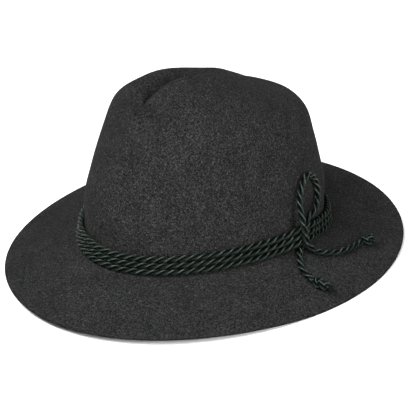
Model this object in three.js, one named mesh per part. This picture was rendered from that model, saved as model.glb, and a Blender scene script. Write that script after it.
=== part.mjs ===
import * as THREE from 'three';

// Tyrolean hat of blocked wool felt with three rounds of twisted cord and a tie on the wearer's left.
// Millimetres, +Z up. The hat rests on its brim, its front towards -Y and the wearer's left towards +X.
// The form is worked out in the hat's own frame, with the foot of the crown near Z = 0, then set to rest.

// Foot of the crown, measured over the felt
const footLength = 204;
const footWidth = 174.6;
const footEgg = 0.103;
const footSag = -2.7;
const feltThickness = 2.5;

// Where the cord draws the foot of the crown in and down: degrees round the foot, millimetres in,
// millimetres down, spread in degrees
const footTucks = [
  { angle: -68, depth: 5.4, drop: 3, spread: 24 },
  { angle: 138, depth: 4.2, drop: 4, spread: 15 },
];

// Brim, its width and its drop from the foot of the crown, as a mean and its change round the hat
const brimWidth = { mean: 56.3, front: -0.7, ends: 2.8 };
const brimDrop = { mean: -17, front: -8.5, ends: 5.15, thirds: -0.57, quarters: -0.54 };

// Crown and its dents
const crownHeight = 129;
const creaseDepth = 14;
const creaseHalfWidthFront = 4;
const creaseHalfWidthRear = 7;
const creaseFront = -76;
const creaseRear = 24;
const creaseRampFront = 30;
const creaseRampRear = 45;
const creaseWidening = 60;
const creaseSideways = -2.5;
const creaseFootHeight = 60;
const creaseBlendHeight = 30;
const pinchDepth = 13;
const pinchAngle = 0.32;
const pinchTurn = 0.35;
const pinchHeight = 104;
const pinchSlope = -18;
const pinchSpread = 0.18;
const pinchTail = 2;
const pinchHalfHeight = 9;
const pinchDown = 1.2;
const pinchInnerShare = 0.35;

// Resting on the brim
const restPitch = THREE.MathUtils.degToRad(-3);
const restFlat = 1;

// Mesh of the felt
const feltColumns = 64;
const frontCrowding = 0.3;

// Cord
const cordDiameter = 4.4;
const cordSides = 8;
const roundSteps = 62;
const roundCrowding = 0.06;
const tieSteps = 76;
const frontTailSteps = 20;
const frontEndSteps = 4;
const cordGap = 0.3;
const seamAngle = 89.6;
const tieBulgeHalfWidth = 20;
const knotLength = 11;
const knotWidth = 9;
const knotHeight = 7;
const knotSwell = 0.1;
const knotTurns = 3;
const knotTwist = 5;
const endDiameter = 5.6;

const halfLength = footLength / 2;
const halfWidth = footWidth / 2;
const cordRadius = cordDiameter / 2;

// Rings of the brim: share of its width, share of its drop
const brimRings = [
  { width: 1, drop: 1 },
  { width: 0.975, drop: 0.972 },
  { width: 0.82, drop: 0.8 },
  { width: 0.6, drop: 0.575 },
  { width: 0.42, drop: 0.37 },
  { width: 0.24, drop: 0.19 },
  { width: 0.13, drop: 0.085 },
];

// Rings of the bend between brim and crown: millimetres out from the foot, millimetres up
const bendRings = [
  { out: 4.2, up: -0.35 },
  { out: 1.9, up: 0.7 },
  { out: 0.55, up: 2.8 },
  { out: 0, up: 6 },
  { out: -1.1, up: 13 },
];

// Rings of the crown: shares of the foot's width and half lengths, egg share,
// and shares of the crown's height at the front, at the sides and at the rear
const crownRings = [
  { wide: 0.939, front: 0.985, rear: 0.946, egg: 0.115, upFront: 0.225, upSide: 0.2326, upRear: 0.2132 },
  { wide: 0.887, front: 0.923, rear: 0.922, egg: 0.11, upFront: 0.3798, upSide: 0.3876, upRear: 0.3643 },
  { wide: 0.827, front: 0.86, rear: 0.897, egg: 0.103, upFront: 0.531, upSide: 0.531, upRear: 0.4961 },
  { wide: 0.764, front: 0.822, rear: 0.861, egg: 0.08, upFront: 0.6977, upSide: 0.6783, upRear: 0.6124 },
  { wide: 0.64, front: 0.76, rear: 0.8, egg: 0.05, upFront: 0.814, upSide: 0.7636, upRear: 0.6783 },
  { wide: 0.42, front: 0.64, rear: 0.64, egg: 0.022, upFront: 0.9147, upSide: 0.845, upRear: 0.7209 },
  { wide: 0.2, front: 0.4, rear: 0.36, egg: 0, upFront: 1, upSide: 0.907, upRear: 0.8295 },
  { wide: 0, front: 0, rear: 0, egg: 0, upFront: 0.9457, upSide: 0.9457, upRear: 0.9457 },
];

// Rows of facets between one ring and the next, from the brim's edge to the top
const rowsPerSpan = [1, 1, 1, 1, 1, 1, 1, 1, 1, 1, 1, 1, 1, 1, 1, 2, 2, 3, 3];

// Rounds of cord: how far each lies out from the foot of the crown and how high,
// and at which angle, how far out and how high it is pushed where the tie's cord passes behind it
const rounds = [
  { name: 'cord_round_lower', out: 3.3, up: 3.3, tieAngle: 92.6, pushOut: 4.3, pushUp: 3.7 },
  { name: 'cord_round_middle', out: 2.3, up: 8, tieAngle: 93.4, pushOut: 4.7, pushUp: 3.8 },
  { name: 'cord_round_upper', out: 1.6, up: 12.75, tieAngle: 95, pushOut: 4.8, pushUp: 3.8 },
];

// Route of the tie's cord: degrees round the foot from the front, millimetres out from it, millimetres up.
// It starts behind the rounds, stands up as the loop, passes over the rounds and lies on the brim to the rear.
const loopAndRearRoute = [
  { angle: 93.8, out: 1.8, up: 11.1 },
  { angle: 95.2, out: 1.4, up: 14.1 },
  { angle: 97.8, out: 1.1, up: 17.7 },
  { angle: 100.3, out: 1.5, up: 20.8 },
  { angle: 103.6, out: 1.3, up: 23.7 },
  { angle: 106.9, out: -0.1, up: 28.5 },
  { angle: 109.4, out: -2.1, up: 34.2 },
  { angle: 109.5, out: -3.9, up: 40.7 },
  { angle: 106.6, out: -5.3, up: 46.3 },
  { angle: 102.7, out: -5.7, up: 48.9 },
  { angle: 99.1, out: -5.1, up: 46.8 },
  { angle: 96.3, out: -3.7, up: 42.8 },
  { angle: 93.9, out: -1.7, up: 38 },
  { angle: 92, out: 1.2, up: 33.3 },
  { angle: 90.5, out: 4.8, up: 28.7 },
  { angle: 89.4, out: 8.4, up: 24.2 },
  { angle: 89.2, out: 10.7, up: 19.5 },
  { angle: 89.4, out: 11.5, up: 14.5 },
  { angle: 89.7, out: 12.3, up: 9.6 },
  { angle: 90.4, out: 13.7, up: 5.6 },
  { angle: 92.2, out: 15.4, up: 1.8 },
  { angle: 95, out: 17.3, up: -1.3 },
  { angle: 98.2, out: 19.6, up: -3.4 },
  { angle: 101.6, out: 22.5, up: -4.5 },
  { angle: 105.3, out: 25, up: -4.8 },
  { angle: 109.4, out: 27.2, up: -5 },
  { angle: 112.6, out: 29, up: -4.8 },
  { angle: 114.8, out: 30.9, up: -4.7 },
];
const frontRoute = [
  { angle: 93.5, out: 2.2, up: 8 },
  { angle: 92.6, out: 2.9, up: 4.6 },
  { angle: 90.3, out: 5.7, up: 1.8 },
  { angle: 87.6, out: 9.7, up: -0.4 },
  { angle: 85.3, out: 14.4, up: -2.3 },
  { angle: 83.7, out: 19.5, up: -4.5 },
  { angle: 83.1, out: 24.7, up: -6.7 },
  { angle: 83.3, out: 29.1, up: -8.4 },
  { angle: 83.6, out: 32.3, up: -9.6 },
];
const frontEndRoute = [
  { angle: 85.4, out: 42.7, up: -13.8 },
  { angle: 86.2, out: 45.2, up: -15.2 },
  { angle: 87, out: 47.8, up: -16.6 },
];
const rearKnotPlace = { angle: 117.1, out: 34.2, up: -4.3 };
const frontKnotPlace = { angle: 84.5, out: 37.9, up: -11.4 };

const felt = new THREE.MeshStandardMaterial({ color: 0x3c3d3f, roughness: 0.95, metalness: 0 });
const cord = new THREE.MeshStandardMaterial({ color: 0x1d3a2c, roughness: 0.45, metalness: 0 });
felt.name = 'wool_felt';
cord.name = 'twisted_cord';

// Rises smoothly from 0 to 1 while t goes from 0 to 1
function ease(t) {
  const s = Math.min(Math.max(t, 0), 1);
  return s * s * (3 - 2 * s);
}

function bell(t) {
  return Math.exp(-0.5 * t * t);
}

// A value that runs from front over side to rear
function roundTheHat(angle, front, side, rear) {
  const mean = (front + rear) / 4 + side / 2;
  const ends = (front + rear) / 4 - side / 2;
  return mean + (front - rear) / 2 * Math.cos(angle) + ends * Math.cos(2 * angle);
}

// How far the foot is drawn in and down at an angle
function footTuck(angle) {
  const degrees = THREE.MathUtils.radToDeg(angle);
  let depth = 0;
  let drop = 0;
  footTucks.forEach((tuck) => {
    const away = THREE.MathUtils.euclideanModulo(degrees - tuck.angle + 180, 360) - 180;
    const share = bell(away / tuck.spread);
    depth += tuck.depth * share;
    drop += tuck.drop * share;
  });
  return { depth, drop };
}

// Point on the foot of the crown and the direction straight out from it
function footPoint(angle) {
  const c = Math.cos(angle);
  const s = Math.sin(angle);
  const point = new THREE.Vector3(halfWidth * s * (1 - footEgg * c), -halfLength * c, 0);
  const tuck = footTuck(angle);
  point.z = footSag * Math.cos(2 * angle) - tuck.drop;
  const alongX = halfWidth * (c * (1 - footEgg * c) + s * footEgg * s);
  const alongY = halfLength * s;
  const out = new THREE.Vector3(alongY, -alongX, 0).normalize();
  point.addScaledVector(out, -tuck.depth);
  return { point, out };
}

function besideFoot(angle, out, up) {
  const foot = footPoint(angle);
  const point = foot.point.clone().addScaledVector(foot.out, out);
  point.z += up;
  return point;
}

// The rings' points in one column, from the brim's edge to the top of the crown
function columnRings(angle) {
  const c = Math.cos(angle);
  const c2 = Math.cos(2 * angle);
  const tuck = footTuck(angle);
  const width = brimWidth.mean + brimWidth.front * c + brimWidth.ends * c2 + tuck.depth;
  const drop = brimDrop.mean + brimDrop.front * c + brimDrop.ends * c2
    + brimDrop.thirds * Math.cos(3 * angle) + brimDrop.quarters * Math.cos(4 * angle) + tuck.drop;
  const points = brimRings.map((ring) => besideFoot(angle, width * ring.width, drop * ring.drop));
  bendRings.forEach((ring) => points.push(besideFoot(angle, ring.out, ring.up)));
  crownRings.forEach((ring) => {
    const x = halfWidth * ring.wide * Math.sin(angle) * (1 - ring.egg * c);
    const middle = (ring.front + ring.rear) / 2;
    const shift = (ring.front - ring.rear) / 2;
    const y = -halfLength * (middle * c + shift * (0.5 + 0.5 * c2));
    const up = crownHeight * roundTheHat(angle, ring.upFront, ring.upSide, ring.upRear);
    const sag = footSag * c2 * Math.max(0, 1 - up / (0.62 * crownHeight));
    points.push(new THREE.Vector3(x, y, up + sag));
  });
  return points;
}

// The long crease in the top and the two pinches beside the front, pressed into a point of the crown
function press(point, angle) {
  const pressed = point.clone();
  const inTop = ease((point.z - creaseFootHeight) / creaseBlendHeight);
  const along = ease((point.y - creaseFront) / creaseRampFront) * ease((creaseRear - point.y) / creaseRampRear);
  const widening = ease((point.y - creaseFront) / creaseWidening);
  const half = creaseHalfWidthFront + (creaseHalfWidthRear - creaseHalfWidthFront) * widening;
  pressed.z -= creaseDepth * bell((point.x - creaseSideways) / half) * along * inTop;
  const outward = Math.hypot(point.x / halfWidth, point.y / halfLength);
  const onWall = ease((outward - pinchInnerShare) / pinchInnerShare);
  const z = pressed.z;
  for (const side of [1, -1]) {
    const turned = angle - side * pinchAngle + Math.PI;
    const away = (turned - 2 * Math.PI * Math.floor(turned / (2 * Math.PI)) - Math.PI) * side;
    const above = z - pinchHeight - pinchSlope * away;
    const spread = away > 0 ? pinchSpread * pinchTail : pinchSpread;
    const high = above > 0 ? pinchHalfHeight : pinchHalfHeight * pinchDown;
    const depth = pinchDepth * bell(away / spread) * bell(above / high) * onWall;
    const inward = side * (pinchAngle + pinchTurn);
    pressed.x -= depth * Math.sin(inward);
    pressed.y += depth * Math.cos(inward);
  }
  return pressed;
}

// A smooth column through the rings' points, carried on past the top into the opposite column
function column(angle) {
  const rings = columnRings(angle);
  const beyond = columnRings(angle + Math.PI)[rings.length - 2];
  const before = rings[0].clone().multiplyScalar(2).sub(rings[1]);
  const curve = new THREE.CatmullRomCurve3([before, ...rings, beyond], false, 'centripetal');
  const spans = rings.length + 1;
  const points = [];
  rowsPerSpan.forEach((rows, span) => {
    for (let row = 0; row < rows; row += 1) {
      points.push(press(curve.getPoint((span + 1 + row / rows) / spans), angle));
    }
  });
  points.push(press(rings[rings.length - 1], angle));
  return points;
}

// Columns lie closer together at the front, where the dents are
function columnAngle(index) {
  const even = 2 * Math.PI * index / feltColumns;
  return even - frontCrowding * Math.sin(even);
}

const outer = [];
for (let index = 0; index < feltColumns; index += 1) {
  outer.push(column(columnAngle(index)));
}
const rowCount = outer[0].length;

// The inner face of the felt: each point of the outer face moved in square to it
function innerPoint(index, row) {
  const next = outer[(index + 1) % feltColumns];
  const last = outer[(index + feltColumns - 1) % feltColumns];
  const here = outer[index];
  const along = here[Math.min(row + 1, rowCount - 2)].clone().sub(here[Math.max(row - 1, 0)]);
  const across = next[row].clone().sub(last[row]);
  const normal = across.cross(along).normalize();
  return here[row].clone().addScaledVector(normal, -feltThickness);
}

const top = outer[0][rowCount - 1];
const inner = outer.map((points, index) => {
  const row = [];
  for (let step = 0; step < rowCount - 1; step += 1) {
    row.push(innerPoint(index, step));
  }
  row.push(top.clone().setZ(top.z - feltThickness));
  return row;
});

// From the hat's own frame to the surface it rests on
const tilt = new THREE.Matrix4().makeRotationX(restPitch);
let lowest = Infinity;
let frontEdge = Infinity;
let rearEdge = -Infinity;
for (const points of [...outer, ...inner]) {
  const edge = points[0].clone().applyMatrix4(tilt);
  lowest = Math.min(lowest, edge.z);
  frontEdge = Math.min(frontEdge, edge.y);
  rearEdge = Math.max(rearEdge, edge.y);
}

function toRest(point) {
  const placed = point.clone().applyMatrix4(tilt);
  placed.y -= (frontEdge + rearEdge) / 2;
  placed.z -= lowest + restFlat;
  return placed;
}

// One closed solid from the outer and inner faces, flattened where it touches the surface
function feltGeometry() {
  const places = [];
  const faces = [];
  const put = (point) => {
    const placed = toRest(point);
    places.push(placed.x, placed.y, Math.max(placed.z, 0));
    return places.length / 3 - 1;
  };
  const rings = rowCount - 1;
  const outerIds = outer.map((points) => points.slice(0, rings).map(put));
  const innerIds = inner.map((points) => points.slice(0, rings).map(put));
  const outerTop = put(top);
  const innerTop = put(inner[0][rings]);
  for (let index = 0; index < feltColumns; index += 1) {
    const next = (index + 1) % feltColumns;
    for (let row = 0; row < rings - 1; row += 1) {
      const a = outerIds[index][row];
      const b = outerIds[next][row];
      const c = outerIds[next][row + 1];
      const d = outerIds[index][row + 1];
      faces.push(a, b, c, a, c, d);
      const e = innerIds[index][row];
      const f = innerIds[next][row];
      const g = innerIds[next][row + 1];
      const h = innerIds[index][row + 1];
      faces.push(e, g, f, e, h, g);
    }
    faces.push(outerIds[index][rings - 1], outerIds[next][rings - 1], outerTop);
    faces.push(innerIds[index][rings - 1], innerTop, innerIds[next][rings - 1]);
    faces.push(outerIds[index][0], innerIds[index][0], innerIds[next][0]);
    faces.push(outerIds[index][0], innerIds[next][0], outerIds[next][0]);
  }
  const geometry = new THREE.BufferGeometry();
  geometry.setAttribute('position', new THREE.Float32BufferAttribute(places, 3));
  geometry.setIndex(faces);
  geometry.computeVertexNormals();
  return geometry;
}

// Share of a round's push at an angle: whole where the tie's cord passes behind it, none further off
function tieBulge(angle, round) {
  const away = THREE.MathUtils.degToRad(angle - round.tieAngle) * halfWidth;
  return 1 - ease(Math.abs(away) / tieBulgeHalfWidth);
}

// A round starts and ends under the tie's cord, with its steps closer together there
function roundRoute(round) {
  const seam = cordGap / halfWidth;
  const start = THREE.MathUtils.degToRad(seamAngle);
  const turn = 2 * Math.PI - seam;
  const points = [];
  for (let step = 0; step <= roundSteps; step += 1) {
    const share = step / roundSteps;
    const angle = start + turn * (share - roundCrowding * Math.sin(2 * Math.PI * share));
    const degrees = THREE.MathUtils.radToDeg(angle);
    const bulge = tieBulge(degrees > seamAngle + 180 ? degrees - 360 : degrees, round);
    points.push(toRest(besideFoot(angle, round.out + bulge * round.pushOut, round.up + bulge * round.pushUp)));
  }
  return points;
}

function tableRoute(table) {
  return table.map((stop) => toRest(besideFoot(THREE.MathUtils.degToRad(stop.angle), stop.out, stop.up)));
}

function circleShape(radius) {
  const corners = [];
  for (let side = 0; side < cordSides; side += 1) {
    const turn = 2 * Math.PI * side / cordSides;
    corners.push(new THREE.Vector2(radius * Math.cos(turn), radius * Math.sin(turn)));
  }
  return new THREE.Shape(corners);
}

// A tube of cord along a route
function tube(route, radius, steps) {
  const curve = new THREE.CatmullRomCurve3(route, false, 'centripetal');
  return new THREE.ExtrudeGeometry(circleShape(radius), { steps, extrudePath: curve, bevelEnabled: false });
}

// An overhand knot as a short body with the bulges of the three turns of cord
function knotGeometry() {
  const geometry = new THREE.SphereGeometry(0.5, 16, 12);
  const places = geometry.getAttribute('position');
  for (let index = 0; index < places.count; index += 1) {
    const point = new THREE.Vector3().fromBufferAttribute(places, index);
    const turn = Math.atan2(point.z, point.y);
    const swell = 1 + knotSwell * Math.cos(knotTurns * turn + knotTwist * point.x);
    places.setXYZ(index, point.x * knotLength, point.y * knotWidth * swell, point.z * knotHeight * swell);
  }
  return geometry;
}

const group = new THREE.Group();

function addPiece(name, geometry, material) {
  const mesh = new THREE.Mesh(geometry, material);
  mesh.name = name;
  group.add(mesh);
  return mesh;
}

function stopPoint(stop) {
  return toRest(besideFoot(THREE.MathUtils.degToRad(stop.angle), stop.out, stop.up));
}

// A knot lies along its cord, from the cord's last point on
function addKnot(name, place, from) {
  const mesh = addPiece(name, knotGeometry(), cord);
  const centre = stopPoint(place);
  const along = centre.clone().sub(from).normalize();
  mesh.position.copy(centre);
  mesh.quaternion.setFromUnitVectors(new THREE.Vector3(1, 0, 0), along);
  return mesh;
}

addPiece('felt_body', feltGeometry(), felt);
rounds.forEach((round) => addPiece(round.name, tube(roundRoute(round), cordRadius, roundSteps), cord));

const loopRoute = tableRoute(loopAndRearRoute);
const tailRoute = tableRoute(frontRoute);
addPiece('tie_loop_and_rear_tail', tube(loopRoute, cordRadius, tieSteps), cord);
addPiece('tie_front_tail', tube(tailRoute, cordRadius, frontTailSteps), cord);
addKnot('rear_tail_knot', rearKnotPlace, loopRoute[loopRoute.length - 1]);
addKnot('front_tail_knot', frontKnotPlace, tailRoute[tailRoute.length - 1]);
addPiece('front_tail_end', tube(tableRoute(frontEndRoute), endDiameter / 2, frontEndSteps), cord);

export default group;
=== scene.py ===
import math

import bpy
import numpy as np
from mathutils import Matrix, Vector


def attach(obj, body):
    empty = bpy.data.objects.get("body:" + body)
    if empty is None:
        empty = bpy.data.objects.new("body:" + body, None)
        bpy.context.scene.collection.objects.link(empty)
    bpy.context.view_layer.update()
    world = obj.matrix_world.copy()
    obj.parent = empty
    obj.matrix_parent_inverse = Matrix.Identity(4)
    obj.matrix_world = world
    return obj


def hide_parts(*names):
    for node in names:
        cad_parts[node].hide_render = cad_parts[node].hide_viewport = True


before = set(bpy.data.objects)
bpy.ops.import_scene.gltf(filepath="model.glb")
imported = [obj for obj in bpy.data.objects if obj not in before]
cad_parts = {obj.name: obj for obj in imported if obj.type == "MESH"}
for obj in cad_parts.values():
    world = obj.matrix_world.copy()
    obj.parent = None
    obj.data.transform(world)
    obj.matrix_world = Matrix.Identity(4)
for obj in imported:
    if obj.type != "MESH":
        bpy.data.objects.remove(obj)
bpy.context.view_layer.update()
print("stage: frame loaded")

# The form of the hat, in metres and degrees, in the hat's own frame: the foot of the crown near z = 0,
# the front towards -y. toRest() then sets it on the floor as the part's source does.
mm = 0.001
foot = dict(halfLength=102 * mm, halfWidth=87.3 * mm, egg=0.103, sag=-2.7 * mm)
feltThickness = 2.5 * mm
# where the cord draws the foot in: degrees round the foot, metres in, metres down, spread in degrees
footTucks = [(-68, 5.4 * mm, 3 * mm, 24), (138, 4.2 * mm, 4 * mm, 15)]
brimWidth = dict(mean=56.3 * mm, front=-0.7 * mm, ends=2.8 * mm)
brimDrop = dict(mean=-17 * mm, front=-8.5 * mm, ends=5.15 * mm, thirds=-0.57 * mm, quarters=-0.54 * mm)
crownHeight = 129 * mm
sagEnd = 0.62  # the share of the crown's height where the foot's sag has died out
crease = dict(depth=14 * mm, halfFront=4 * mm, halfRear=7 * mm, front=-86 * mm, rear=24 * mm,
              rampFront=30 * mm, rampRear=45 * mm, widening=60 * mm, sideways=-2.5 * mm,
              footHeight=60 * mm, blend=30 * mm)
pinch = dict(depth=15 * mm, angles=((1, 0.14), (-1, 0.32)), turn=0.35, height=102 * mm,
             slope=-18 * mm, spread=0.18, tail=2, halfHeight=9 * mm, down=1.2, innerShare=0.35)
rest = dict(pitch=math.radians(-3), flat=1 * mm)

# Rings of the brim (shares of its width and drop), of the bend (metres out and up), and of the crown
# (shares of the foot's size, egg share, shares of the crown's height at front, side and rear)
brimRings = [(1, 1), (0.975, 0.972), (0.82, 0.8), (0.6, 0.575), (0.42, 0.37), (0.24, 0.19), (0.13, 0.085)]
bendRings = [(4.2 * mm, -0.35 * mm), (1.9 * mm, 0.7 * mm), (0.55 * mm, 2.8 * mm), (0, 6 * mm),
             (-1.1 * mm, 13 * mm)]
crownRings = [
    dict(wide=0.939, front=0.985, rear=0.946, egg=0.115, upFront=0.225, upSide=0.2326, upRear=0.2132),
    dict(wide=0.887, front=0.923, rear=0.922, egg=0.11, upFront=0.3798, upSide=0.3876, upRear=0.3643),
    dict(wide=0.827, front=0.86, rear=0.897, egg=0.103, upFront=0.531, upSide=0.531, upRear=0.4961),
    dict(wide=0.764, front=0.822, rear=0.861, egg=0.08, upFront=0.6977, upSide=0.6783, upRear=0.6124),
    dict(wide=0.64, front=0.76, rear=0.8, egg=0.05, upFront=0.814, upSide=0.7636, upRear=0.6783),
    dict(wide=0.42, front=0.64, rear=0.64, egg=0.022, upFront=0.9147, upSide=0.845, upRear=0.7209),
    dict(wide=0.2, front=0.4, rear=0.36, egg=0, upFront=1, upSide=0.907, upRear=0.8295),
    dict(wide=0, front=0, rear=0, egg=0, upFront=0.9457, upSide=0.9457, upRear=0.9457),
]


def ease(t):  # 0 to 1 with flat ends: 3t^2 - 2t^3
    t = np.clip(t, 0, 1)
    return t * t * (3 - 2 * t)


def bell(t):
    return np.exp(-0.5 * t * t)


def unit(v):
    return v / np.maximum(np.linalg.norm(v, axis=-1, keepdims=True), 1e-12)


def footTuck(angle):  # how far the cord draws the foot in and down: a bell round each tuck's angle
    shares = [bell(((np.degrees(angle) - tuck[0] + 180) % 360 - 180) / tuck[3]) for tuck in footTucks]
    tuckIn = sum(tuck[1] * share for tuck, share in zip(footTucks, shares))
    tuckDown = sum(tuck[2] * share for tuck, share in zip(footTucks, shares))
    return tuckIn, tuckDown


def besideFoot(angle, out, up):
    # the foot is an egg: x = w sin a (1 - e cos a), y = -l cos a; out is square to it
    c, s = np.cos(angle), np.sin(angle)
    x = foot["halfWidth"] * s * (1 - foot["egg"] * c)
    y = -foot["halfLength"] * c
    alongX = foot["halfWidth"] * (c * (1 - foot["egg"] * c) + s * foot["egg"] * s)
    alongY = foot["halfLength"] * s
    length = np.hypot(alongX, alongY)
    tuckIn, tuckDown = footTuck(angle)
    away = out - tuckIn
    z = foot["sag"] * np.cos(2 * angle) - tuckDown + up
    return np.stack([x + away * alongY / length, y - away * alongX / length, z], -1)


def ringPoints(angle):  # the rings' points at each angle, an array of rings by angles by 3
    c, c2 = np.cos(angle), np.cos(2 * angle)
    tuckIn, tuckDown = footTuck(angle)
    width = brimWidth["mean"] + brimWidth["front"] * c + brimWidth["ends"] * c2 + tuckIn
    drop = (brimDrop["mean"] + brimDrop["front"] * c + brimDrop["ends"] * c2
            + brimDrop["thirds"] * np.cos(3 * angle) + brimDrop["quarters"] * np.cos(4 * angle) + tuckDown)
    rings = [besideFoot(angle, width * share, drop * down) for share, down in brimRings]
    rings += [besideFoot(angle, out, up) for out, up in bendRings]
    for ring in crownRings:
        x = foot["halfWidth"] * ring["wide"] * np.sin(angle) * (1 - ring["egg"] * c)
        middle, shift = (ring["front"] + ring["rear"]) / 2, (ring["front"] - ring["rear"]) / 2
        y = -foot["halfLength"] * (middle * c + shift * (0.5 + 0.5 * c2))
        ends = (ring["upFront"] + ring["upRear"]) / 4
        up = (ends + ring["upSide"] / 2 + (ring["upFront"] - ring["upRear"]) / 2 * c
              + (ends - ring["upSide"] / 2) * c2)
        sag = foot["sag"] * c2 * np.maximum(0, 1 - up / sagEnd)
        rings.append(np.stack([x, y, up * crownHeight + sag], -1))
    return np.stack(rings)


def smoothThrough(points, rows):  # centripetal Catmull-Rom through the rings, with so many rows in each span
    out = []
    for k, count in enumerate(rows):
        p0, p1, p2, p3 = points[k:k + 4]
        a, b, c = [np.maximum(np.linalg.norm(q - p, axis=-1, keepdims=True), 1e-9) ** 0.5
                   for p, q in ((p0, p1), (p1, p2), (p2, p3))]
        m1 = p2 - p1 + b * ((p1 - p0) / a - (p2 - p0) / (a + b))
        m2 = p2 - p1 + b * ((p3 - p2) / c - (p3 - p1) / (b + c))
        t = (np.arange(count) / count)[:, None, None]
        out.append((2 * t**3 - 3 * t**2 + 1) * p1 + (t**3 - 2 * t**2 + t) * m1
                   + (3 * t**2 - 2 * t**3) * p2 + (t**3 - t**2) * m2)
    return np.concatenate(out)


def press(points, angle):  # the long crease in the top, then a pinch on each side of the front
    p = points.copy()
    inTop = ease((p[..., 2] - crease["footHeight"]) / crease["blend"])
    fromFront = p[..., 1] - crease["front"]
    along = ease(fromFront / crease["rampFront"]) * ease((crease["rear"] - p[..., 1]) / crease["rampRear"])
    wider = (crease["halfRear"] - crease["halfFront"]) * ease(fromFront / crease["widening"])
    half = crease["halfFront"] + wider
    outward = np.hypot(p[..., 0] / foot["halfWidth"], p[..., 1] / foot["halfLength"])
    p[..., 2] -= crease["depth"] * bell((p[..., 0] - crease["sideways"]) / half) * along * inTop
    onWall = ease((outward - pinch["innerShare"]) / pinch["innerShare"])
    z = p[..., 2].copy()
    for side, middle in pinch["angles"]:
        away = ((angle - side * middle + np.pi) % (2 * np.pi) - np.pi) * side
        above = z - pinch["height"] - pinch["slope"] * away
        spread = np.where(away > 0, pinch["spread"] * pinch["tail"], pinch["spread"])
        high = np.where(above > 0, pinch["halfHeight"], pinch["halfHeight"] * pinch["down"])
        depth = pinch["depth"] * bell(away / spread) * bell(above / high) * onWall
        inward = side * (middle + pinch["turn"])
        p[..., 0] -= depth * np.sin(inward)
        p[..., 1] += depth * np.cos(inward)
    return p


def feltFace(angle, rows):  # the outer face of the felt on a grid of rows by angles, the top's one point last
    rings = ringPoints(angle)
    before = 2 * rings[:1] - rings[1:2]
    beyond = ringPoints(angle + np.pi)[-2:-1]
    smooth = smoothThrough(np.concatenate([before, rings, beyond]), rows)
    return press(np.concatenate([smooth, rings[-1:]]), angle)


def innerFace(outer, thickness):  # each point moved in square to the face
    along = np.roll(outer, -1, 0) - np.roll(outer, 1, 0)
    along[0], along[-2:] = outer[1] - outer[0], outer[-2] - outer[-3]
    across = np.roll(outer, -1, 1) - np.roll(outer, 1, 1)
    inner = outer - thickness * unit(np.cross(across, along))
    inner[-1] = outer[-1] - [0, 0, feltThickness]
    return inner


edgeAngles = np.radians(np.arange(720) / 2)
spans = len(brimRings) + len(bendRings) + len(crownRings) - 1
edgeOuter = feltFace(edgeAngles, [1] * spans)
edges = np.stack([edgeOuter[0], innerFace(edgeOuter, feltThickness)[0]])
tilt = np.array(Matrix.Rotation(rest["pitch"], 3, "X"))
tilted = edges @ tilt.T
restMiddle = (tilted[..., 1].min() + tilted[..., 1].max()) / 2
restShift = -np.array([0, restMiddle, tilted[..., 2].min() + rest["flat"]])


def toRest(points):
    return np.asarray(points) @ tilt.T + restShift


# The camera: degrees round the hat from its front, up and rolled, metres away, and the framing in a picture
# 408 pixels wide. focalShare is the focal length over the picture's width, at 1.328 pixels a millimetre
photo = dict(azimuth=39.99, elevation=24.334, roll=0.222, distance=1.3, focalShare=1.328 * 1.3 / mm / 408,
             centreX=201.575, centreY=218.623, width=408)


def makeCamera():
    a, e, r = (math.radians(photo[k]) for k in ("azimuth", "elevation", "roll"))
    back = np.array([math.sin(a) * math.cos(e), -math.cos(a) * math.cos(e), math.sin(e)])
    right = np.array([math.cos(a), math.sin(a), 0])
    up = np.cross(back, right)
    rolled = np.stack([right * math.cos(r) + up * math.sin(r),
                       up * math.cos(r) - right * math.sin(r), back], 1)
    data = bpy.data.cameras.new("camera")
    camera = bpy.data.objects.new("camera", data)
    bpy.context.scene.collection.objects.link(camera)
    data.sensor_width = 36
    data.lens = data.sensor_width * photo["focalShare"]
    data.shift_x = (photo["width"] / 2 - photo["centreX"]) / photo["width"]
    data.shift_y = (photo["centreY"] - photo["width"] / 2) / photo["width"]
    data.clip_start, data.clip_end = 0.05, 20
    place = Matrix((tilt @ rolled).tolist()).to_4x4()
    place.translation = Vector(toRest(back * photo["distance"]))
    camera.matrix_world = place
    bpy.context.scene.camera = camera


makeCamera()
print("stage: camera placed")


def makeMesh(name, points, quads, material, uv=None, smooth=True):
    mesh = bpy.data.meshes.new(name)
    mesh.from_pydata(np.asarray(points).tolist(), [], [list(f) for f in quads])
    mesh.polygons.foreach_set("use_smooth", [smooth] * len(mesh.polygons))
    if uv is not None:
        corners = np.zeros(len(mesh.loops), np.int32)
        mesh.loops.foreach_get("vertex_index", corners)
        layer = mesh.uv_layers.new(name="strand")
        layer.data.foreach_set("uv", np.asarray(uv)[corners].astype(np.float32).ravel())
    mesh.materials.append(material)
    mesh.update()
    piece = bpy.data.objects.new(name, mesh)
    bpy.context.scene.collection.objects.link(piece)
    return piece


def gridFaces(rows, columns, start=0, flip=False):  # quads of a grid whose columns close into a ring
    r, c = np.meshgrid(np.arange(rows - 1), np.arange(columns), indexing="ij")
    n = (c + 1) % columns
    low, high = r * columns, (r + 1) * columns
    quads = np.stack([low + c, low + n, high + n, high + c], -1).reshape(-1, 4)
    return (quads[:, ::-1] if flip else quads) + start


# Node helpers for the materials
def newMaterial(name):
    material = bpy.data.materials.new(name)
    material.use_nodes = True
    tree = material.node_tree
    return material, tree, tree.nodes["Principled BSDF"]


def addNode(tree, kind, values=None, **settings):
    node = tree.nodes.new(kind)
    for key, value in settings.items():
        setattr(node, key, value)
    for key, value in (values or {}).items():
        if isinstance(value, bpy.types.NodeSocket):
            tree.links.new(value, node.inputs[key])
        else:
            node.inputs[key].default_value = value
    return node


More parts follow.
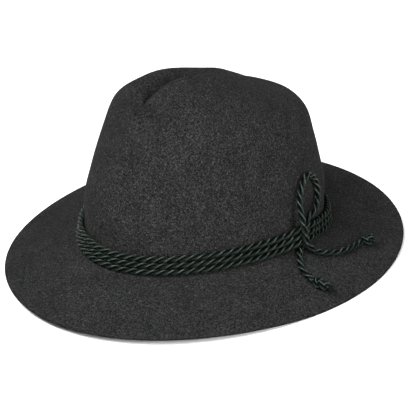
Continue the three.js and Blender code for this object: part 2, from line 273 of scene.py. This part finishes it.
def ramp(tree, source, stops):
    node = addNode(tree, "ShaderNodeValToRGB", {"Fac": source})
    elements = node.color_ramp.elements
    while len(elements) < len(stops):
        elements.new(0.5)
    for element, (place, colour) in zip(elements, stops):
        element.position, element.color = place, (*colour, 1)
    return node.outputs["Color"]


def addMath(tree, operation, *values):
    return addNode(tree, "ShaderNodeMath", dict(enumerate(values)), operation=operation).outputs[0]


def addNoise(tree, place, scale, detail=3, **values):
    return addNode(tree, "ShaderNodeTexNoise", {"Vector": place, "Scale": scale, "Detail": detail, **values})


def finishShader(tree, shader, colour, height, look):
    bump = addNode(tree, "ShaderNodeBump",
                   {"Height": height, "Strength": look["bumpStrength"], "Distance": look["bumpDepth"]})
    tree.links.new(colour, shader.inputs["Base Color"])
    tree.links.new(bump.outputs["Normal"], shader.inputs["Normal"])
    shader.inputs["Roughness"].default_value = look["roughness"]
    shader.inputs["Specular IOR Level"].default_value = look["specular"]
    shader.inputs["Sheen Weight"].default_value = look["sheen"]
    shader.inputs["Sheen Roughness"].default_value = look["sheenRoughness"]
    shader.inputs["Sheen Tint"].default_value = (*look["sheenTint"], 1)


# The cord's look: colours from the painted shade between the strands to the painted highlight on their crest,
# then the filaments and the shine
cordLook = dict(grooveShade=(0.0002, 0.0005, 0.0003), dark=(0.0006, 0.0022, 0.0013), mid=(0.01, 0.02, 0.0145),
                crestHighlight=(0.12, 0.145, 0.125), darkAt=0.45, midAt=0.74, lowest=0.3, highest=1.5,
                filaments=9, filamentTwist=0.9, filamentShare=0.18, unevenScale=420, mixedShare=0.55,
                bumpStrength=0.6, bumpDepth=0.12 * mm, roughness=0.45, specular=0.08, sheen=0.01,
                sheenRoughness=0.35, sheenTint=(0.55, 0.75, 0.65))


def cordMaterial(name, look):
    material, tree, shader = newMaterial(name)
    uv = addNode(tree, "ShaderNodeUVMap", uv_map="strand")
    parts = addNode(tree, "ShaderNodeSeparateXYZ", {"Vector": uv.outputs["UV"]})
    aroundStrand, alongStrand = parts.outputs["X"], parts.outputs["Y"]
    # filaments run along the strand and turn slowly round it
    turned = addMath(tree, "MULTIPLY_ADD", alongStrand, look["filamentTwist"], aroundStrand)
    wave = addMath(tree, "SINE", addMath(tree, "MULTIPLY", turned, 2 * math.pi * look["filaments"]))
    coords = addNode(tree, "ShaderNodeTexCoord")
    uneven = addNoise(tree, coords.outputs["Object"], look["unevenScale"])
    mixed = addMath(tree, "MULTIPLY_ADD", wave, look["filamentShare"], uneven.outputs["Fac"])
    # the strand is given a painted highlight along its crest and painted shade where it lies against the
    # next: cos of the angle
    crestHighlight = addMath(tree, "COSINE", addMath(tree, "MULTIPLY", aroundStrand, 2 * math.pi))
    lit = addMath(tree, "MULTIPLY_ADD", mixed, look["mixedShare"], crestHighlight)
    scaled = addNode(tree, "ShaderNodeMapRange",
                     {"Value": lit, "From Min": look["lowest"], "From Max": look["highest"]})
    # the ramp runs from the painted shade in the grooves to the painted highlight on the crests
    colour = ramp(tree, scaled.outputs[0], [(0, look["grooveShade"]), (look["darkAt"], look["dark"]),
                                            (look["midAt"], look["mid"]), (1, look["crestHighlight"])])
    finishShader(tree, shader, colour, mixed, look)
    return material


cordGreen = cordMaterial("twisted_cord", cordLook)

# tip: how far a strand's end stands out, over its radius
cordSize = dict(diameter=4.65 * mm, pitch=21.5 * mm, strandShare=0.475, strands=3, sides=10, stepsPerPitch=18,
                tip=0.35)


def smoothRoute(stops, spacing, closed=False):  # Catmull-Rom through a route's stops, evenly stepped
    stops = np.asarray(stops)
    if closed:
        around = np.concatenate([stops[-1:], stops, stops[:2]])
    else:
        around = np.concatenate([2 * stops[:1] - stops[1:2], stops, 2 * stops[-1:] - stops[-2:-1]])
    dense = smoothThrough(around[:, None], [16] * (len(around) - 3))[:, 0]
    dense = np.concatenate([dense, dense[:1] if closed else stops[-1:]])
    s = np.concatenate([[0], np.cumsum(np.linalg.norm(np.diff(dense, axis=0), axis=1))])
    t = np.linspace(0, s[-1], max(int(s[-1] / spacing), 8) + 1)
    return np.stack([np.interp(t, s, dense[:, k]) for k in range(3)], 1), s[-1]


def steadyFrames(path, toward, closed=False):
    # normals square to the path that start from one direction and don't turn about it: the turn of the
    # plain projected normal is summed along the path and taken away again
    tangent = np.gradient(path, axis=0)
    if closed:
        tangent[0] = tangent[-1] = path[1] - path[-2]
    tangent = unit(tangent)
    normal = unit(np.asarray(toward) - tangent * (tangent @ np.asarray(toward))[:, None])
    side = np.cross(tangent, normal)
    if closed:
        return tangent, normal, side
    between = (side[1:] + side[:-1]) / 2
    turn = np.concatenate([[0], np.cumsum(np.einsum("ij,ij->i", np.diff(normal, axis=0), between))])
    c, s = np.cos(turn)[:, None], np.sin(turn)[:, None]
    return tangent, normal * c - side * s, side * c + normal * s


def ropeMesh(name, path, toward, size, material, closed=False, startTurn=0.0):
    # three strands, each a round section carried along its own helix round the path:
    # centre = path + R (cos(w s) normal + sin(w s) side), left-handed, w = 2 pi / pitch
    tangent, normal, side = steadyFrames(path, toward, closed)
    s = np.concatenate([[0], np.cumsum(np.linalg.norm(np.diff(path, axis=0), axis=1))])
    turns = s[-1] / size["pitch"]
    if closed:
        turns = round(turns * size["strands"]) / size["strands"]
    lay = turns / s[-1]
    radius = size["diameter"] / 2
    strand = radius * size["strandShare"]
    reach = radius - strand
    points, faces, uvs = [], [], []
    columns = size["sides"]
    for k in range(size["strands"]):
        w = startTurn + 2 * np.pi * (k / size["strands"] - lay * s)
        away = np.cos(w)[:, None] * normal + np.sin(w)[:, None] * side
        centre = path + away * reach
        ownTangent = unit(np.gradient(centre, axis=0))
        if closed:
            ownTangent[0] = ownTangent[-1] = unit(centre[1] - centre[0])
        third = unit(np.cross(ownTangent, away))
        fan = 2 * np.pi * np.arange(columns) / columns
        ring = np.cos(fan)[None, :, None] * away[:, None] + np.sin(fan)[None, :, None] * third[:, None]
        body = centre[:, None] + ring * strand
        rows = len(s) - (1 if closed else 0)
        start = sum(len(p) for p in points)
        points.append(body[:rows].reshape(-1, 3))
        around, along = (fan / (2 * np.pi))[None], (s[:rows] / (2 * np.pi * strand))[:, None]
        uv = np.stack(np.broadcast_arrays(around, along), -1)
        uvs.append(uv.reshape(-1, 2))
        faces.append(gridFaces(rows, columns, start, flip=True))
        if closed:
            last, c = start + (rows - 1) * columns, np.arange(columns)
            n = (c + 1) % columns
            shift = int(round(turns * size["strands"])) % size["strands"]
            # the strand's end meets the start of the strand that its turns bring it to
            other = ((k - shift) % size["strands"]) * rows * columns
            faces.append(np.stack([other + c, other + n, last + n, last + c], -1))
        else:
            tips = [body[0].mean(0) - ownTangent[0] * strand * size["tip"],
                    body[-1].mean(0) + ownTangent[-1] * strand * size["tip"]]
            base = start + rows * columns
            points.append(np.array(tips))
            uvs.append(np.zeros((2, 2)))
            c = np.arange(columns)
            n = (c + 1) % columns
            end = start + (rows - 1) * columns
            faces.append(np.stack([start + c, np.full(columns, base), start + n], -1)[:, ::-1])
            faces.append(np.stack([end + c, end + n, np.full(columns, base + 1)], -1)[:, ::-1])
    faceList = [face for part in faces for face in part.tolist()]
    return makeMesh(name, np.concatenate(points), faceList, material, np.concatenate(uvs))


# The rounds: metres out from the foot and up, and the push where the tie's cord passes behind
rounds = [
    dict(node="cord_round_lower", out=3.3 * mm, up=3.3 * mm, tieAngle=92.6,
         pushOut=4.3 * mm, pushUp=3.7 * mm),
    dict(node="cord_round_middle", out=2.3 * mm, up=8 * mm, tieAngle=93.4,
         pushOut=4.7 * mm, pushUp=3.8 * mm),
    dict(node="cord_round_upper", out=1.6 * mm, up=12.75 * mm, tieAngle=95,
         pushOut=4.8 * mm, pushUp=3.8 * mm),
]
bulgeHalfWidth = 20 * mm
turnBetweenRounds = 1.3  # radians that each round's strands start on from those of the one below


def roundPath(row):
    degrees = np.arange(-90, 270, 0.25)
    away = np.radians(degrees - row["tieAngle"]) * foot["halfWidth"]
    bulge = 1 - ease(np.abs(away) / bulgeHalfWidth)
    out, up = row["out"] + bulge * row["pushOut"], row["up"] + bulge * row["pushUp"]
    return toRest(besideFoot(np.radians(degrees), out, up))


for index, row in enumerate(rounds):
    path, length = smoothRoute(roundPath(row), cordSize["pitch"] / cordSize["stepsPerPitch"], closed=True)
    piece = ropeMesh(row["node"] + "_rope", path, (0, 0, 1), cordSize, cordGreen, closed=True,
                     startTurn=turnBetweenRounds * index)
    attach(piece, "root")
    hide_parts(row["node"])
    print("stage:", piece.name, round(length, 3))

# The tie's cord: degrees round the foot, millimetres out and up, as in the part's source. The turns are
# where the strands start, in radians
tie = dict(
    loopTurn=0.4, frontTurn=2.0,
    loop=np.array([
        (93.8, 1.8, 11.1), (95.2, 1.4, 14.1), (97.8, 1.1, 17.7), (100.3, 1.5, 20.8), (103.6, 1.3, 23.7),
        (106.9, -0.1, 28.5), (109.4, -2.1, 34.2), (109.5, -3.9, 40.7), (106.6, -5.3, 46.3),
        (102.7, -5.7, 48.9), (99.1, -5.1, 46.8), (96.3, -3.7, 42.8), (93.9, -1.7, 38),
        (92, 1.2, 33.3), (90.5, 4.8, 28.7),
        (89.4, 8.4, 24.2), (89.2, 10.7, 19.5), (89.4, 11.5, 14.5), (89.7, 12.3, 9.6), (90.4, 13.7, 5.6),
        (92.2, 15.4, 1.8), (95, 17.3, -1.3), (98.2, 19.6, -3.4), (101.6, 22.5, -4.5), (105.3, 25, -4.8),
        (109.4, 27.2, -5), (112.6, 29, -4.8), (114.8, 30.9, -4.7)]),
    front=np.array([
        (93.5, 2.2, 8), (92.6, 2.9, 4.6), (90.3, 5.7, 1.8), (87.6, 9.7, -0.4), (85.3, 14.4, -2.3),
        (83.7, 19.5, -4.5), (83.1, 24.7, -6.7), (83.3, 29.1, -8.4), (83.6, 32.3, -9.6)]),
)


def tiePath(stops):
    return smoothRoute(toRest(besideFoot(np.radians(stops[:, 0]), stops[:, 1] * mm, stops[:, 2] * mm)),
                       cordSize["pitch"] / cordSize["stepsPerPitch"])


loopPath, loopLength = tiePath(tie["loop"])
loopRope = ropeMesh("tie_loop_and_rear_tail_rope", loopPath, (1, 0, 0), cordSize, cordGreen,
                    startTurn=tie["loopTurn"])
frontPath, frontLength = tiePath(tie["front"])
frontRope = ropeMesh("tie_front_tail_rope", frontPath, (0, 1, 0), cordSize, cordGreen,
                     startTurn=tie["frontTurn"])

# An overhand knot in the cord, for one half in millimetres: along the cord, to the side, away from the felt.
# The other half is the same turned about the middle: (-along, side, -away)
knotHalf = np.array([
    (-8.4, 0.4, 0.0), (-6.4, 1.2, -0.5), (-4.4, 1.7, -1.2), (-2.5, 1.2, -1.5), (0, -1.3, 1.5),
    (2, -2.7, 0.9), (3.4, -2.3, 0), (3.6, -0.8, -0.9), (2.5, 1.3, -1.5), (1.3, 2.5, -0.8)])
knot = dict(diameter=4.2 * mm, pitch=15 * mm, strandShare=0.475, strands=3, sides=10, stepsPerPitch=18,
            tip=0.35, startTurn=0.3)


def knotRoute(centre, along, away):
    other = (knotHalf * [-1, 1, -1])[::-1]
    stops = np.concatenate([knotHalf, [(0, 2.8, 0)], other])[1:-1] * mm
    x = unit(np.asarray(along))
    z = unit(np.asarray(away) - x * (x @ np.asarray(away)))
    return centre + stops @ np.stack([x, np.cross(z, x), z])


def stopPoint(angle, out, up):
    return toRest(besideFoot(np.radians(angle), out * mm, up * mm))


def knotPiece(name, node, centre, fromPath, roll):
    along = unit(centre - fromPath[-1])
    away = tilt @ np.array([0.25 * np.sin(roll), 0.1, 1])
    stops = np.concatenate([fromPath[[-4, -1]], knotRoute(centre, along, away)])
    route = smoothRoute(stops, knot["pitch"] / knot["stepsPerPitch"])[0]
    piece = ropeMesh(name, route, away, knot, cordGreen, startTurn=knot["startTurn"])
    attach(piece, "root")
    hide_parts(node)
    return piece, route


rearCentre, frontCentre = stopPoint(117.1, 34.2, -4.3), stopPoint(84.5, 37.9, -11.4)
rearKnot = knotPiece("rear_tail_knot_rope", "rear_tail_knot", rearCentre, loopPath, 0)[0]
frontKnot, frontRoute = knotPiece("front_tail_knot_rope", "front_tail_knot", frontCentre, frontPath, 1)

# The front end's frayed fibres: thin hairs that leave the knot in a loose brush
fray = dict(count=190, length=8.5 * mm, spread=0.42, curl=0.35, radius=0.11 * mm, steps=7, sides=3,
            base=1.5 * mm, curlSize=1.2 * mm, droop=0.16, flatness=0.75, thinning=0.6, seed=7)


def frayPiece(name, base, along, away, look):
    # hair = base + along t L + spread sideways t + a slow sine curl, each a 3-sided tube that thins out
    rng = np.random.default_rng(look["seed"])
    x = unit(np.asarray(along))
    z = unit(np.asarray(away) - x * (x @ np.asarray(away)))
    y = np.cross(z, x)
    count, steps, sides = look["count"], look["steps"], look["sides"]
    turn, far = rng.uniform(0, 2 * np.pi, count), np.sqrt(rng.uniform(0, 1, count))
    lean = look["spread"] * far * rng.uniform(0.6, 1.5, count)
    length = look["length"] * rng.uniform(0.45, 1.1, count) * (1.05 - 0.35 * far)
    t = np.linspace(0, 1, steps)[None, :]
    wave = rng.uniform(0, 2 * np.pi, (count, 1))
    curl = look["curl"] * look["curlSize"] * np.sin(wave + t * rng.uniform(2, 6, (count, 1))) * t
    sideways = far[:, None] * look["base"] + length[:, None] * lean[:, None] * t**1.2
    down = -look["droop"] * length[:, None] * t**2
    place = (base + x * (length[:, None] * t)[..., None]
             + y * (np.cos(turn)[:, None] * sideways + curl)[..., None]
             + z * (np.sin(turn)[:, None] * sideways * look["flatness"] + curl * 0.6 + down)[..., None])
    tangent = unit(np.gradient(place, axis=1))
    n = unit(np.cross(tangent, np.array([0.3, 0.2, 0.93])))
    b = np.cross(tangent, n)
    fan = 2 * np.pi * np.arange(sides) / sides
    thin = look["radius"] * (1 - look["thinning"] * t)[..., None, None]
    c, s = np.cos(fan)[None, None, :, None], np.sin(fan)[None, None, :, None]
    ring = place[:, :, None] + thin * (c * n[:, :, None] + s * b[:, :, None])
    points = ring.reshape(-1, 3)
    one = gridFaces(steps, sides, flip=True)
    starts = (np.arange(count) * steps * sides)[:, None, None]
    faces = (one[None] + starts).reshape(-1, 4)
    caps = np.concatenate([np.arange(sides)[None, ::-1], np.arange(sides)[None] + (steps - 1) * sides])
    caps = (caps[None] + starts).reshape(-1, sides)[:, ::-1]
    uv = np.stack(np.broadcast_arrays((fan / 6)[None, None], t[..., None] * 3), -1)
    uv = np.broadcast_to(uv, (count, steps, sides, 2)).reshape(-1, 2)
    return makeMesh(name, points, faces.tolist() + caps.tolist(), cordGreen, uv)


frayBase = frontRoute[-4]
frayAlong = unit(frontRoute[-1] - frontRoute[-8]) + tilt @ np.array([0.1, 0.0, -0.32])
frontEnd = frayPiece("front_tail_end_fibres", frayBase, frayAlong, (0, 0, 1), fray)
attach(frontEnd, "root")
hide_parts("front_tail_end")

for piece, node in ((loopRope, "tie_loop_and_rear_tail"), (frontRope, "tie_front_tail")):
    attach(piece, "root")
    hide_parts(node)
print("stage: tie", round(loopLength, 3), round(frontLength, 3))


# The felt: its mesh, its cut edge, and the fleck of its wool
felt = dict(columns=330, crowding=0.3, edgeRound=0.5 * mm, rimRows=5,
            outerRows=[3, 6, 6, 5, 5, 4, 4, 3, 3, 3, 4, 7, 9, 8, 9, 9, 9, 9, 9],
            innerRows=[2, 4, 4, 4, 3, 3, 3, 2, 2, 2, 3, 5, 6, 6, 6, 6, 6, 6, 6],
            frontEdgeShare=0.4, paredRows=6, paredReach=1.5,
            dark=(0.001, 0.001, 0.001), mid=(0.0085, 0.0085, 0.0086), light=(0.05, 0.05, 0.0504),
            bentScale=260, bend=0.0035, fibreScale=1400, fleckScale=640, fleckShare=0.45, cloudScale=75,
            cloudShare=0.09, lowest=0.51, highest=1.02, bumpStrength=0.4, bumpDepth=0.0006,
            roughness=0.95, specular=0.02, sheen=0.006, sheenRoughness=0.6, sheenTint=(0.8, 0.8, 0.82))


def feltMaterial(look):
    material, tree, shader = newMaterial("wool_felt")
    place = addNode(tree, "ShaderNodeTexCoord").outputs["Object"]
    bent = addNoise(tree, place, look["bentScale"], detail=2)
    shifted = addNode(tree, "ShaderNodeVectorMath",
                      {0: bent.outputs["Color"], 1: (look["bend"],) * 3, 2: place},
                      operation="MULTIPLY_ADD").outputs[0]
    fibres = addNoise(tree, shifted, look["fibreScale"], Roughness=0.7)
    flecks = addNoise(tree, shifted, look["fleckScale"], Roughness=0.65)
    clouds = addNoise(tree, place, look["cloudScale"])
    wool = addMath(tree, "MULTIPLY_ADD", flecks.outputs["Fac"], look["fleckShare"], fibres.outputs["Fac"])
    mixed = addMath(tree, "MULTIPLY_ADD", clouds.outputs["Fac"], look["cloudShare"], wool)
    scaled = addNode(tree, "ShaderNodeMapRange",
                     {"Value": mixed, "From Min": look["lowest"], "From Max": look["highest"]})
    colour = ramp(tree, scaled.outputs[0], [(0.0, look["dark"]), (0.5, look["mid"]), (1.0, look["light"])])
    finishShader(tree, shader, colour, wool, look)
    return material


def makeFelt(look):
    even = 2 * np.pi * np.arange(look["columns"]) / look["columns"]
    angle = even - look["crowding"] * np.sin(even)
    outer = feltFace(angle, look["outerRows"])
    # towards the front the felt is pared thinner near its cut edge
    pared = (1 - look["frontEdgeShare"]) * ease(np.cos(angle) * look["paredReach"])
    pared = pared * np.ones((sum(look["innerRows"]) + 1, 1))
    pared *= ease(1 - np.arange(len(pared)) / look["paredRows"])[:, None]
    inner = innerFace(feltFace(angle, look["innerRows"]), feltThickness * (1 - pared)[..., None])
    # the cut edge bulges between its two corners: x = -r |2t - 1|^4 along the face, t from face to face
    t = np.linspace(0, 1, look["rimRows"] + 2)[:, None, None]
    outward = unit(outer[0] - outer[1])
    rim = outer[0] + (inner[0] - outer[0]) * t - outward * look["edgeRound"] * np.abs(2 * t - 1) ** 4
    outerRing = np.concatenate([rim[:1], outer[1:-1]])
    innerRing = np.concatenate([rim[-1:], inner[1:-1]])
    shell = np.concatenate([innerRing[::-1], rim[-2:0:-1], outerRing])
    rows, columns = shell.shape[:2]
    points = toRest(np.concatenate([shell.reshape(-1, 3), outer[-1:, 0], inner[-1:, 0]]))
    points[:, 2] = np.maximum(points[:, 2], 0)
    c = np.arange(columns)
    n = (c + 1) % columns
    top = (rows - 1) * columns
    faces = gridFaces(rows, columns).tolist()
    faces += np.stack([top + c, top + n, np.full(columns, rows * columns)], -1).tolist()
    faces += np.stack([c, np.full(columns, rows * columns + 1), n], -1).tolist()
    piece = makeMesh("felt_hat", points, faces, feltMaterial(look))
    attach(piece, "root")
    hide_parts("felt_body")
    return piece


hat = makeFelt(felt)
print("stage: felt", len(hat.data.polygons))

# Floor, light and world. Each light: degrees round the hat from its front, degrees up, metres away, size
# and watts
studio = dict(floorColour=(0.93, 0.93, 0.93), floorSize=6, world=0.13, aim=(0, 0, 50 * mm), lights=[
    dict(name="key", azimuth=-28, elevation=54, distance=2, size=0.6, power=39),
    dict(name="front", azimuth=22, elevation=52, distance=2, size=0.9, power=38),
    dict(name="right", azimuth=74, elevation=22, distance=2, size=0.7, power=44),
    dict(name="back", azimuth=262, elevation=42, distance=2, size=1.0, power=14),
])


def makeFloor():
    half = studio["floorSize"] / 2
    material, tree, shader = newMaterial("floor")
    coords = addNode(tree, "ShaderNodeTexCoord")
    grain = addNode(tree, "ShaderNodeTexNoise", {"Vector": coords.outputs["Object"], "Scale": 3})
    colour = ramp(tree, grain.outputs["Fac"], [(0, studio["floorColour"]), (1, studio["floorColour"])])
    tree.links.new(colour, shader.inputs["Base Color"])
    shader.inputs["Roughness"].default_value = 0.9
    corners = [(-half, -half, 0), (half, -half, 0), (half, half, 0), (-half, half, 0)]
    makeMesh("floor", corners, [(0, 1, 2, 3)], material)


def makeLight(row):
    a, e = math.radians(row["azimuth"]), math.radians(row["elevation"])
    data = bpy.data.lights.new(row["name"], "AREA")
    data.energy, data.size = row["power"], row["size"]
    light = bpy.data.objects.new(row["name"], data)
    bpy.context.scene.collection.objects.link(light)
    aim = Vector(studio["aim"])
    back = Vector((math.sin(a) * math.cos(e), -math.cos(a) * math.cos(e), math.sin(e)))
    light.location = aim + row["distance"] * back
    light.rotation_euler = (aim - light.location).to_track_quat("-Z", "Y").to_euler()


makeFloor()
for row in studio["lights"]:
    makeLight(row)
world = bpy.data.worlds.new("studio")
bpy.context.scene.world = world
world.use_nodes = True
world.node_tree.nodes["Background"].inputs["Color"].default_value = (1, 1, 1, 1)
world.node_tree.nodes["Background"].inputs["Strength"].default_value = studio["world"]
bpy.context.scene.view_settings.view_transform = "Standard"
print("stage: floor and lights")
